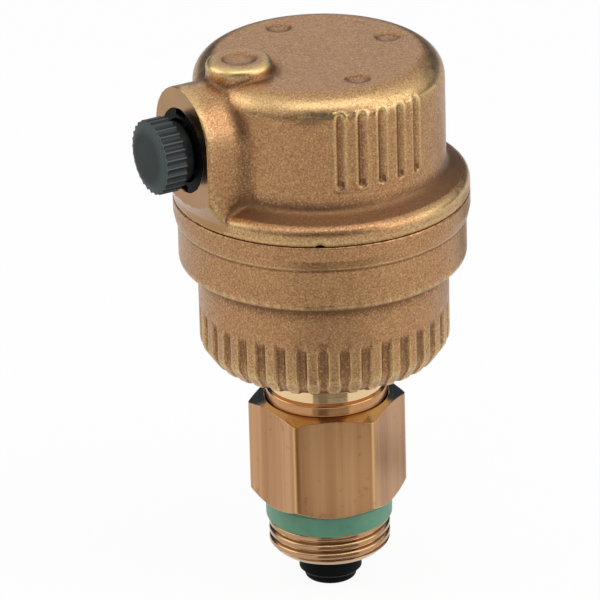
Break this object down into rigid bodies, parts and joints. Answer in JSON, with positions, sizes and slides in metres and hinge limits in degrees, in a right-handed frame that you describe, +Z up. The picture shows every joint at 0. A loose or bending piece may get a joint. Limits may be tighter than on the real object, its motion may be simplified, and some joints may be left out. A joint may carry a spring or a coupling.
{
  "type": "air release valve",
  "caption": "Automatic air vent: domed brass cover with side outlet and knurled cap on a fluted brass cup, float and lever inside, on a hexagonal check valve with a male inlet thread.",
  "frame": {"origin": "on the thread axis at the lower face of the sealing ring, where the exposed inlet thread begins", "axes": "+Z up along the thread axis towards the cover, -X out along the side outlet"},
  "size_m": [0.0464, 0.0402, 0.0793],
  "materials": {
    "drawn_brass": "drawn and turned",
    "cast_brass": "hot stamped, grainy",
    "green_plastic": "moulded, satin",
    "black_plastic": "moulded, satin",
    "slate_plastic": "moulded, satin",
    "white_plastic": "moulded, natural",
    "black_rubber": "moulded",
    "red_silicone": "moulded",
    "spring_steel": "drawn wire"
  },
  "bodies": {
    "check_valve": {"check_valve_body": "drawn_brass", "sealing_ring": "green_plastic", "check_spring": "spring_steel"},
    "shutter": {"shutter_stem": "black_plastic", "shutter_seal": "black_rubber", "spring_cap": "white_plastic"},
    "vent": {"vent_body": "cast_brass", "neck_seal": "black_rubber", "cover": "cast_brass", "cover_seal": "black_rubber", "nozzle": "black_plastic", "nozzle_seal": "black_rubber", "lever_bracket": "white_plastic", "lever_pin": "spring_steel"},
    "cap_disc": {"cap_seal": "black_rubber"},
    "cap": {"vent_cap": "slate_plastic"},
    "float": {"float_shell": "white_plastic", "float_base": "white_plastic", "float_hanger": "white_plastic"},
    "lever": {"lever": "white_plastic", "obturator": "red_silicone"}
  },
  "joints": [
    {"name": "shutter_lift", "type": "slide", "parent": "check_valve", "child": "shutter", "axis": [0, 0, 1], "range_m": [0, 0.00267], "deforming": ["check_spring"]},
    {"name": "vent_unscrew", "type": "hinge", "parent": "shutter", "child": "vent", "pos_m": [0, 0, 0], "axis": [0, 0, 1], "range_deg": [0, 720]},
    {"name": "vent_cap_travel", "type": "slide", "parent": "vent", "child": "cap_disc", "axis": [-1, 0, 0], "range_m": [-0.00068, 0.0005]},
    {"name": "vent_cap_turn", "type": "hinge", "parent": "cap_disc", "child": "cap", "pos_m": [-0.0228, 0, 0.0585], "axis": [-1, 0, 0], "range_deg": [-245, 181]},
    {"name": "float_rise", "type": "slide", "parent": "vent", "child": "float", "axis": [0, 0, 1], "range_m": [0, 0.0033]},
    {"name": "lever_rock", "type": "hinge", "parent": "vent", "child": "lever", "pos_m": [-0.01, 0, 0.0539], "axis": [0, -1, 0], "range_deg": [0, 18.91]}
  ],
  "couplings": [
    {"joint": "shutter_lift", "follows": "vent_unscrew", "m_per_rad": 0.00021279},
    {"joint": "vent_cap_turn", "follows": "vent_cap_travel", "rad_per_m": 6283.2},
    {"joint": "lever_rock", "follows": "float_rise", "rad_per_m": 100}
  ]
}
